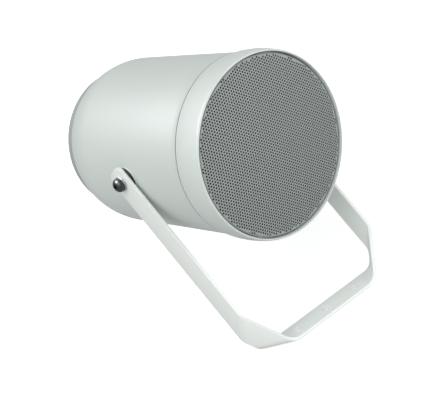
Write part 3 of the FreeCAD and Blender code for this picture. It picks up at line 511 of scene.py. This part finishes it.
THROAT = outer(FLARE_START)
SEAM_RADIUS = THROAT + FLARE_RISE
LIP_RADIUS = SEAM_RADIUS + LIP_RISE
LIP_BORE = LIP_RADIUS - LIP_THICK
REAR_RADIUS = shoulder(SHELL_REAR)
REAR_BORE = REAR_RADIUS - WALL


def make_shell():
    """The tapered body, with the bezel's spigot, the driver's baffle and the rear collar inside."""
    shoulder_top = (outer(-SHOULDER_START), -SHOULDER_START)
    outside = [(REAR_RADIUS, -SHELL_REAR)]
    outside += arc(outside[-1], shoulder_top, SHOULDER_ARC, side=-1, steps=16)
    outside.append((THROAT, FLARE_START))
    outside += arc(outside[-1], (SEAM_RADIUS, SEAM), FLARE_ARC, side=1, steps=8)
    land, groove = SEAM_RADIUS - SEAM_LAND, SEAM - SEAM_UNDERCUT
    inside = [(land, SEAM), (land, groove), (SPIGOT_RADIUS, groove), (SPIGOT_RADIUS, SPIGOT_END),
              (SPIGOT_BORE, SPIGOT_END), (SPIGOT_BORE, BAFFLE_FRONT),
              (BAFFLE_BORE, BAFFLE_FRONT), (BAFFLE_BORE, BAFFLE_BACK),
              (outer(BAFFLE_BACK) - WALL, BAFFLE_BACK), (shoulder_top[0] - WALL, -SHOULDER_START)]
    collar_top = (shoulder(COLLAR_FRONT, WALL), -COLLAR_FRONT)
    inside += arc(inside[-1], collar_top, SHOULDER_ARC - WALL, side=1, steps=8)
    inside += [(COLLAR_BORE, -COLLAR_FRONT), (COLLAR_BORE, -COLLAR_BACK),
               (REAR_BORE, -COLLAR_BACK), (REAR_BORE, -SHELL_REAR)]
    outline = eased(outside + inside, {0: SHELL_REAR_EDGE})
    shell = lathe("moulded_shell", outline, HOUSING_ABS, ahead, smooth_angle=25)
    stands_for(shell, "housing", "housing_abs", "housing_shell")


def make_bezel():
    """The front ring: a bulge from the seam to a rounded lip, with the grille's seat inside."""
    start = (SEAM_RADIUS, SEAM + SEAM_GAP)
    bulge = arc(start, (LIP_RADIUS, BULGE_END), BULGE_ARC, side=-1, steps=32)
    outside = [start] + [p for p in bulge if p[1] < LIP_FRONT - LIP_ROUND_DEEP]
    outside += arc(outside[-1], (LIP_BORE + LIP_FLAT, LIP_FRONT), LIP_ROUND, side=-1, steps=10)
    seat_bore, seat_back = LIP_BORE - SEAT_WIDTH, GRILLE_SEAT - SEAT_THICK
    socket = SPIGOT_RADIUS + SPIGOT_CLEARANCE
    inside = [(LIP_BORE, LIP_FRONT), (LIP_BORE, GRILLE_SEAT), (seat_bore, GRILLE_SEAT),
              (seat_bore, seat_back), (BEZEL_BORE, seat_back), (BEZEL_BORE, SPIGOT_END),
              (socket, SPIGOT_END), (socket, start[1])]
    outline = eased(outside + inside, {0: SEAM_EDGE, len(outside): LIP_BORE_EDGE})
    bezel = lathe("front_bezel_ring", outline, BEZEL_ABS, ahead, smooth_angle=25)
    stands_for(bezel, "housing", "housing_abs", "front_bezel")


def dome(radius):
    """Height of the grille's outer face ahead of the pivot."""
    return GRILLE_EDGE + DOME_RISE - DOME_RADIUS + math.sqrt(DOME_RADIUS**2 - radius**2)


def make_grille():
    """The domed sheet with its real hole pattern, in hexagonal cells of one hole each."""
    edge = GRILLE_RADIUS - RIM_ROUND
    row_pitch = HOLE_PITCH * math.sin(math.radians(60))
    corner_radius = HOLE_PITCH / math.sqrt(3)
    reach = math.ceil((edge + corner_radius) / row_pitch)
    # every second spoke points at a corner of the cell
    spokes = [HOLE_TURN + math.radians(30 * k) for k in range(12)]
    vertices, faces, shared, sides = [], [], {}, {}

    def point(x, y, sink):
        """A point that far below the outer face, pulled in to the sheet's edge where it lies past it."""
        radius = math.hypot(x, y)
        if radius > edge:
            x, y, radius = x * edge / radius, y * edge / radius, edge
        vertices.append(ahead(x, y, dome(radius) - sink))
        return len(vertices) - 1

    def corner(x, y):
        """The front point of a cell's corner; its back point comes straight after it."""
        key = (round(x, 3), round(y, 3))
        if key not in shared:
            shared[key] = point(x, y, 0)
            point(x, y, SHEET)
        return shared[key]

    def around(x, y, radius, angles):
        """Places round the middle of a cell."""
        return [(x + radius * math.cos(t), y + radius * math.sin(t)) for t in angles]

    def add_cell(x, y):
        """A cell with its hole, or a plain one next to the edge."""
        places = around(x, y, corner_radius, spokes[1::2])
        if min(math.hypot(*place) for place in places) >= edge:
            return
        corners = [corner(*place) for place in places]
        for near, far in zip(corners, corners[1:] + corners[:1]):
            side = frozenset((near, far))
            sides[side] = None if side in sides else (near, far)
        if math.hypot(x, y) > HOLES_WITHIN:
            faces.extend([corners, [c + 1 for c in corners]])
            return
        hole = around(x, y, HOLE_RADIUS, spokes)
        front, back = ([point(*place, sink) for place in hole] for sink in (0, SHEET))
        for step, rim in enumerate((front, back)):
            for k in range(6):
                near, far = corners[k] + step, corners[(k + 1) % 6] + step
                first, middle, last = (rim[(2 * k + n) % 12] for n in (1, 2, 3))
                faces.extend([[near, far, middle], [near, middle, first], [far, last, middle]])
        for k in range(12):
            m = (k + 1) % 12
            faces.append([front[k], front[m], back[m], back[k]])

    for i in range(-reach, reach + 1):
        for j in range(-reach, reach + 1):
            along, aside = HOLE_PITCH * (i + j / 2), row_pitch * j
            add_cell(along * math.cos(HOLE_TURN) - aside * math.sin(HOLE_TURN),
                     along * math.sin(HOLE_TURN) + aside * math.cos(HOLE_TURN))
    # a side that only one cell has is part of the sheet's edge
    faces += [[near, far, far + 1, near + 1] for near, far in filter(None, sides.values())]
    sheet = new_piece("perforated_grille_sheet", vertices, faces, GRILLE_COAT)
    tidy_mesh(sheet.data)
    stands_for(sheet, "housing", "grille_powder_coat", "front_grille")


def make_grille_rim():
    """The sheet's edge, turned down to the seat."""
    edge = GRILLE_RADIUS - RIM_ROUND
    top, bore = dome(edge), GRILLE_RADIUS - SHEET
    outline = [(edge - RIM_LAP, top - SHEET), (edge - RIM_LAP, top)]
    outline += arc((edge, top), (GRILLE_RADIUS, top - RIM_ROUND), RIM_ROUND, side=-1, steps=6)
    outline += [(GRILLE_RADIUS, GRILLE_SEAT), (bore, GRILLE_SEAT), (bore, top - RIM_INSIDE)]
    rim = lathe("turned_down_grille_rim", outline, GRILLE_COAT, ahead)
    stands_for(rim, "housing", "grille_powder_coat")


class Fold:
    """A round bend of the bar about a line skewed to it, followed on the bar's middle surface."""

    def __init__(self, start, along, inward, line, angle):
        self.start, self.inward, self.line, self.angle = start, inward, line, angle
        self.radius = BEND_RADIUS + BAR_THICK / 2
        self.slope = along.dot(line)
        self.onward = (along - line * self.slope).normalized()
        self.rate = along.dot(self.onward)

    def middle(self, turn):
        """The bar's middle after this much of the bend."""
        lift = self.inward * (1 - math.cos(turn)) + self.onward * math.sin(turn)
        drift = self.radius * self.slope / self.rate * turn
        return self.start + lift * self.radius + self.line * drift

    def normal(self, turn):
        """The way the bar's inner face looks after this much of the bend."""
        return self.inward * math.cos(turn) - self.onward * math.sin(turn)

    def along(self, turn):
        """The way the bar runs after this much of the bend."""
        ahead_of_line = self.onward * math.cos(turn) + self.inward * math.sin(turn)
        return ahead_of_line * self.rate + self.line * self.slope

    def sections(self, steps):
        """Cross-sections of the bar through the whole bend."""
        turns = [self.angle * i / steps for i in range(steps + 1)]
        across = self.line / self.rate
        return [bar_section(self.middle(turn), across, self.normal(turn)) for turn in turns]


def bar_section(centre, across, normal, width=BAR_WIDTH):
    """The bar's cross-section with its four edges eased."""
    half, rise = width / 2, BAR_THICK / 2
    corners = [(-half, -rise), (half, -rise), (half, rise), (-half, rise)]
    outline = eased(corners, {i: BAR_EDGE for i in range(4)}, steps=3)
    return [centre + across * u + normal * v for u, v in outline]


def bracket_folds(skew):
    """Both folds of the right half, the arm at its place along X."""
    bar = Vector((1, 0, 0))
    line = Vector((math.sin(skew), math.cos(skew), 0))
    low = Fold(Vector((0, 0, BAR_THICK / 2)), bar, Vector((0, 0, 1)), line, FOLD_ANGLE)
    along, inward = low.along(low.angle), low.normal(low.angle)
    high_line = inward.cross(bar).normalized()
    high = Fold(low.middle(low.angle), along, inward, high_line, math.acos(-inward.x))
    edge_step = (high.line / high.rate - line / low.rate).dot(along) * BAR_WIDTH / 2
    high.start = high.start + along * (CORNER_FLAT + abs(edge_step))
    slide = bar * (ARM_INSIDE + BAR_THICK / 2 - high.middle(high.angle).x)
    low.start, high.start = low.start + slide, high.start + slide
    return low, high


def skew_to_pivot(halvings=50):
    """The skew of the foot's fold line at which the arms lean back just enough to meet the pivot."""
    least, most = LEAST_SKEW, MOST_SKEW
    for _ in range(halvings):
        skew = (least + most) / 2
        high = bracket_folds(skew)[1]
        top, lean = high.middle(high.angle), high.along(high.angle)
        if top.y + lean.y / lean.z * (PIVOT.z - top.z) < PIVOT.y:
            least = skew
        else:
            most = skew
    return skew


def make_bracket():
    """One bar from arm end to arm end, with its foot holes and pivot holes."""
    low, high = bracket_folds(skew_to_pivot())
    lean, inward = high.along(high.angle), Vector((-1, 0, 0))
    across = inward.cross(lean)
    if across.dot(high.line) < 0:
        across = -across
    pivot = Vector((ARM_INSIDE + BAR_THICK / 2, PIVOT.y, PIVOT.z))
    sections = low.sections(steps=14) + high.sections(steps=12)
    end_steps = 8
    for i in range(end_steps + 1):
        turn = math.pi / 2 * i / end_steps
        centre = pivot + lean * (ARM_END - ARM_CORNER * (1 - math.sin(turn)))
        width = BAR_WIDTH - 2 * ARM_CORNER * (1 - math.cos(turn))
        sections.append(bar_section(centre, across, inward, width))
    middle = [bar_section(Vector((0, 0, BAR_THICK / 2)), Vector((0, 1, 0)), Vector((0, 0, 1)))]
    left = [[Vector((-p.x, p.y, p.z)) for p in section] for section in reversed(sections)]
    rings = left + middle + sections
    count, last = len(rings[0]), len(rings) - 1
    faces = [list(range(count)), list(range(last * count, (last + 1) * count))]
    for i in range(last):
        for k in range(count):
            m = (k + 1) % count
            faces.append([i * count + k, i * count + m, (i + 1) * count + m, (i + 1) * count + k])
    points = [p for ring in rings for p in ring]
    bar = new_piece("folded_bar_bracket", points, faces, BRACKET_COAT, smooth_angle=30)
    tidy_mesh(bar.data)
    pitch = min(p.x for p in low.sections(steps=1)[0]) - FOOT_HOLE_EDGE
    foot_top = BAR_THICK + CUT_PAST
    cutters = [disc(FOOT_HOLE_RADIUS, -CUT_PAST, foot_top, upright(x)) for x in (-pitch, 0, pitch)]
    arm_outside = ARM_INSIDE + BAR_THICK + CUT_PAST
    cutters.append(disc(PIVOT_HOLE_RADIUS, -arm_outside, arm_outside, sideways(1)))
    carve(bar, cutters, smooth_angle=30)
    stands_for(bar, "bracket", "bracket_powder_coat", "mounting_bracket")


def flat_ring(name, radius, inner_face, outer_face, material, to_row):
    """A flat ring on the pivot bolt with eased rims."""
    outline = [(RUNNING_BORE, inner_face), (radius, inner_face), (radius, outer_face),
               (RUNNING_BORE, outer_face)]
    return lathe(name, eased(outline, {1: RING_EDGE, 2: RING_EDGE}), material, to_row, segments=96)


def make_pivot(side, name):
    """Boss, friction pad, washers and bolt of one side."""
    to_row = sideways(side)
    boss_outline = [(RUNNING_BORE, BOSS_ROOT), (BOSS_RADIUS, BOSS_ROOT), (BOSS_RADIUS, BOSS_FACE),
                    (RUNNING_BORE, BOSS_FACE)]
    boss_outline = eased(boss_outline, {2: BOSS_EDGE})
    boss = lathe(f"pivot_boss_{name}", boss_outline, HOUSING_ABS, to_row, segments=96)
    stands_for(boss, "housing", "housing_abs")
    pad = flat_ring(f"pivot_pad_{name}", PAD_RADIUS, BOSS_FACE, PAD_FACE, PAD_NYLON, to_row)
    stands_for(pad, "housing", "pad_nylon", f"friction_pad_{name}")
    washer = flat_ring(f"flat_washer_{name}", WASHER_RADIUS, WASHER_FACE, LOCK_FACE, ZINC, to_row)
    stands_for(washer, "housing", "zinc_steel", f"plain_washer_{name}")
    make_lock_washer(name, to_row)
    make_bolt(name, to_row)


def make_lock_washer(name, to_row, steps=60):
    """A split spring washer: a square-section ring with a slanted gap."""
    points = []
    for i in range(steps + 1):
        turn = LOCK_GAP + (2 * math.pi - 2 * LOCK_GAP) * i / steps
        slant = {0: LOCK_SLANT, steps: -LOCK_SLANT}.get(i, 0)
        for radius, face, shear in ((RUNNING_BORE, LOCK_FACE, -slant), (LOCK_RADIUS, LOCK_FACE, -slant),
                                    (LOCK_RADIUS, HEAD_FACE, slant), (RUNNING_BORE, HEAD_FACE, slant)):
            points.append(to_row(radius * math.cos(turn + shear), radius * math.sin(turn + shear), face))
    faces = [[0, 1, 2, 3], [4 * steps + k for k in range(4)]]
    for i in range(steps):
        for k in range(4):
            m = (k + 1) % 4
            faces.append([4 * i + k, 4 * i + m, 4 * (i + 1) + m, 4 * (i + 1) + k])
    washer = new_piece(f"split_washer_{name}", points, faces, BLACK_OXIDE, smooth_angle=30)
    tidy_mesh(washer.data)
    stands_for(washer, "housing", "blacked_steel", f"lock_washer_{name}")


def make_bolt(name, to_row):
    """A button-head bolt with a hexagon socket."""
    outline = [(0, BOLT_END), (BOLT_RADIUS - BOLT_CHAMFER, BOLT_END),
               (BOLT_RADIUS, BOLT_END + BOLT_CHAMFER), (BOLT_RADIUS, HEAD_FACE),
               (HEAD_RADIUS, HEAD_FACE), (HEAD_RADIUS, HEAD_FACE + HEAD_RIM)]
    outline += arc(outline[-1], (HEAD_FLAT, HEAD_TOP), HEAD_ARC, side=-1, steps=12)
    outline.append((0, HEAD_TOP))
    bolt = lathe(f"button_head_bolt_{name}", outline, BLACK_OXIDE, to_row, segments=64, closed=False)
    socket = disc(SOCKET_RADIUS, HEAD_TOP - SOCKET_DEEP, HEAD_TOP + CUT_PAST, to_row, segments=6)
    carve(bolt, [socket], smooth_angle=28)
    stands_for(bolt, "housing", "blacked_steel", f"pivot_bolt_{name}")


def make_rear_cover():
    """The rear cap with its skirt, and the four screws sunk into it."""
    rim, skirt = REAR_RADIUS - COVER_INSET, REAR_BORE - SPIGOT_CLEARANCE
    inner, floor = skirt - COVER_SKIRT, COVER_BACK - COVER_WALL
    outline = [(0, COVER_BACK), (rim - COVER_DRAFT, COVER_BACK), (rim, COVER_FLANGE), (skirt, COVER_FLANGE),
               (skirt, COVER_END), (inner, COVER_END), (inner, floor), (0, floor)]
    outline = eased(outline, {1: COVER_ROUND, 2: COVER_EDGE}, steps=6)
    # 162 segments keep the cap's seams off the corners of its cutters
    cover = lathe("rear_cover_cap", outline, CAP_ABS, behind(0, 0), segments=162, closed=False)
    cutters = [disc(GLAND_HOLE, floor - CUT_PAST, COVER_BACK + CUT_PAST, behind(0, -GLAND_DOWN))]
    screws = []
    for turn in map(math.radians, SCREW_TURNS):
        ring = skirt - SCREW_INSET
        place = behind(ring * math.cos(turn), ring * math.sin(turn))
        sink = COVER_BACK - SCREW_SINK
        cutters.append(disc(SINK_RADIUS, sink, COVER_BACK + CUT_PAST, place, segments=32))
        cutters.append(disc(SCREW_HOLE, floor - CUT_PAST, COVER_BACK, place, segments=24))
        screws.append(make_screw(place, turn))
    carve(cover, cutters, smooth_angle=28)
    stands_for(cover, "housing", "housing_abs", "rear_cover")
    screw_group = joined("rear_cover_cross_screws", screws)
    stands_for(screw_group, "housing", "zinc_steel", "rear_cover_screws")


def make_screw(to_row, turn):
    """A pan-head screw with a cross recess."""
    seat = COVER_BACK - SCREW_SINK
    outline = [(0, SCREW_TIP), (SCREW_SHANK - POINT_INSET, SCREW_TIP),
               (SCREW_SHANK, SCREW_TIP + POINT_LONG), (SCREW_SHANK, seat), (SCREW_HEAD, seat)]
    crown = (0, seat + SCREW_CROWN)
    outline += arc((SCREW_HEAD, seat + SCREW_RIM), crown, SCREW_DOME, side=1, steps=8)
    screw = lathe("cross_screw", outline, ZINC, to_row, segments=32, closed=False)
    cross = [cross_bar(to_row, turn + quarter, seat) for quarter in (0, math.pi / 2)]
    carve(screw, cross, smooth_angle=30)
    return screw


def cross_bar(to_row, angle, seat):
    """One bar of the cross that cuts a screw's recess, narrower and shorter at its floor."""
    points = []
    for height, long, wide in CROSS_LEVELS:
        for u, v in ((-long, -wide), (long, -wide), (long, wide), (-long, wide)):
            across = u * math.cos(angle) - v * math.sin(angle)
            up = u * math.sin(angle) + v * math.cos(angle)
            points.append(to_row(across, up, seat + height))
    faces = [[0, 1, 2, 3], [4, 5, 6, 7], [0, 1, 5, 4], [1, 2, 6, 5], [2, 3, 7, 6], [3, 0, 4, 7]]
    bar = new_piece("cross", points, faces, ZINC)
    tidy_mesh(bar.data)
    return bar


def joined(name, parts):
    """Several meshes as one piece."""
    work = bmesh.new()
    for part in parts:
        work.from_mesh(part.data)
    whole = parts[0].data.copy()
    work.to_mesh(whole)
    work.free()
    for part in parts:
        bpy.data.objects.remove(part)
    piece = bpy.data.objects.new(name, whole)
    bpy.context.scene.collection.objects.link(piece)
    return piece


def hex_nut(name, outline, to_row):
    """A hexagon kept only where it lies inside a turned outline, so that its corners are chamfered."""
    low, high = outline[0][1], outline[-1][1]
    block = [(0, low), (HEX_RADIUS, low), (HEX_RADIUS, high), (0, high)]
    nut = lathe(name, block, NYLON, to_row, segments=6, closed=False)
    turned = lathe("cutter", outline, NYLON, to_row, segments=64, closed=False)
    carve(nut, [turned], "INTERSECT", smooth_angle=25)
    return nut


def make_gland():
    """The gland's body, with its stem through the cover, and the dome nut on it."""
    place = behind(0, -GLAND_DOWN)
    clear = HEX_RADIUS + HEX_CLEAR
    top = COVER_BACK + FLANGE_THICK
    body_outline = [(0, COVER_BACK), (clear, COVER_BACK), (clear, top - FLANGE_CHAMFER), (HEX_FACE, top),
                    (0, top)]
    body = hex_nut("gland_body_piece", body_outline, place)
    stem_end = COVER_BACK - STEM_LONG
    stem = disc(STEM_RADIUS, stem_end, COVER_BACK + STEM_LAP, place)
    carve(body, [stem], "UNION", smooth_angle=25)
    bore = disc(GLAND_BORE, stem_end - CUT_PAST, top + CUT_PAST, place)
    carve(body, [bore], smooth_angle=25)
    stands_for(body, "housing", "gland_nylon", "gland_body")
    foot = COVER_BACK + NUT_FOOT
    nut_outline = [(0, foot), (HEX_FACE, foot), (clear, foot + NUT_CHAMFER), (clear, foot + NUT_HEX)]
    nut_outline += [(radius, foot + height) for radius, height in NUT_CROWN] + [(0, foot + NUT_TOP)]
    nut = hex_nut("gland_dome_nut_piece", nut_outline, place)
    thread = disc(GLAND_HOLE, foot - CUT_PAST, foot + NUT_THREAD, place)
    bore = disc(GLAND_BORE, foot + NUT_THREAD - CUT_PAST, foot + NUT_TOP + CUT_PAST, place)
    carve(nut, [thread, bore], smooth_angle=25)
    stands_for(nut, "housing", "gland_nylon", "gland_dome_nut")


def make_camera():
    """Turned from +Y towards +X, then tipped down, then rolled."""
    camera = bpy.data.objects.new("camera", bpy.data.cameras.new("camera"))
    bpy.context.scene.collection.objects.link(camera)
    turn = Matrix.Rotation(-CAMERA_TURN, 4, "Z")
    tip = Matrix.Rotation(math.pi / 2 - CAMERA_DOWN, 4, "X")
    roll = Matrix.Rotation(-CAMERA_ROLL, 4, "Z")
    camera.matrix_world = Matrix.Translation(CAMERA_PLACE * MM) @ turn @ tip @ roll
    camera.data.sensor_width = CAMERA_SENSOR
    camera.data.lens = CAMERA_LENS
    camera.data.clip_end = CAMERA_SIGHT * MM
    bpy.context.scene.camera = camera


def add_lamp(name, energy, width, toward):
    """A broad soft lamp far away in the direction given."""
    light = bpy.data.lights.new(name, "SUN")
    light.energy = energy
    light.angle = width
    lamp = bpy.data.objects.new(name, light)
    lamp.rotation_euler = Vector(toward).to_track_quat("Z", "Y").to_euler()
    bpy.context.scene.collection.objects.link(lamp)
    return lamp


def add_sheen():
    """A round lamp close behind the speaker's left shoulder, whose light only gleams on the surfaces."""
    light = bpy.data.lights.new("sheen light", "AREA")
    light.shape = "DISK"
    light.size = SHEEN_SIZE * MM
    light.energy = SHEEN_POWER
    lamp = bpy.data.objects.new("sheen light", light)
    lamp.location = SHEEN_PLACE * MM
    lamp.rotation_euler = (SHEEN_PLACE - PIVOT).to_track_quat("Z", "Y").to_euler()
    lamp.visible_camera = False
    lamp.visible_diffuse = False
    bpy.context.scene.collection.objects.link(lamp)


def make_room():
    """White light from all round, a little weaker from the back."""
    world = bpy.data.worlds.new("white studio")
    world.use_nodes = True
    tree = world.node_tree
    place = add(tree, "ShaderNodeTexCoord").outputs["Generated"]
    way = add(tree, "ShaderNodeSeparateXYZ", links={"Vector": place})
    span = {"From Min": -1, "From Max": 1, "To Min": ROOM_FRONT, "To Max": ROOM_BACK}
    depth = add(tree, "ShaderNodeMapRange", span, {"Value": way.outputs["Y"]})
    tree.nodes["Background"].inputs["Color"].default_value = WHITE
    tree.links.new(depth.outputs["Result"], tree.nodes["Background"].inputs["Strength"])
    bpy.context.scene.world = world


def make_floor():
    """A pale floor that shows and takes shadows, and throws no light back up at the object."""
    reach, low = FLOOR_REACH * MM, -FLOOR_DROP * MM
    mesh = bpy.data.meshes.new("floor")
    corners = [(-reach, -reach, low), (reach, -reach, low), (reach, reach, low), (-reach, reach, low)]
    mesh.from_pydata(corners, [], [(0, 1, 2, 3)])
    pale = finish("pale floor", "#f8f8f8", 0.9)
    shader = pale.node_tree.nodes["Principled BSDF"]
    shader.inputs["Emission Color"].default_value = WHITE
    shader.inputs["Emission Strength"].default_value = FLOOR_GLOW
    mesh.materials.append(pale)
    ground = bpy.data.objects.new("floor", mesh)
    ground.visible_diffuse = False
    ground.visible_glossy = False
    ground.visible_shadow = False
    bpy.context.scene.collection.objects.link(ground)


def make_studio():
    """A white room with a soft key from the left, a fill from the front, a back light and a gleam."""
    bpy.context.scene.view_settings.view_transform = "Standard"
    make_room()
    add_lamp("soft key light", KEY_LIGHT, KEY_WIDTH, KEY_FROM)
    add_lamp("front fill light", FILL_LIGHT, FILL_WIDTH, FILL_FROM)
    back_lamp = add_lamp("soft back light", BACK_LIGHT, BACK_WIDTH, BACK_FROM)
    back_lamp.visible_glossy = False
    add_sheen()
    make_floor()


make_shell()
make_bezel()
make_grille()
make_grille_rim()
make_bracket()
make_pivot(-1, "left")
make_pivot(1, "right")
make_rear_cover()
make_gland()
make_camera()
make_studio()
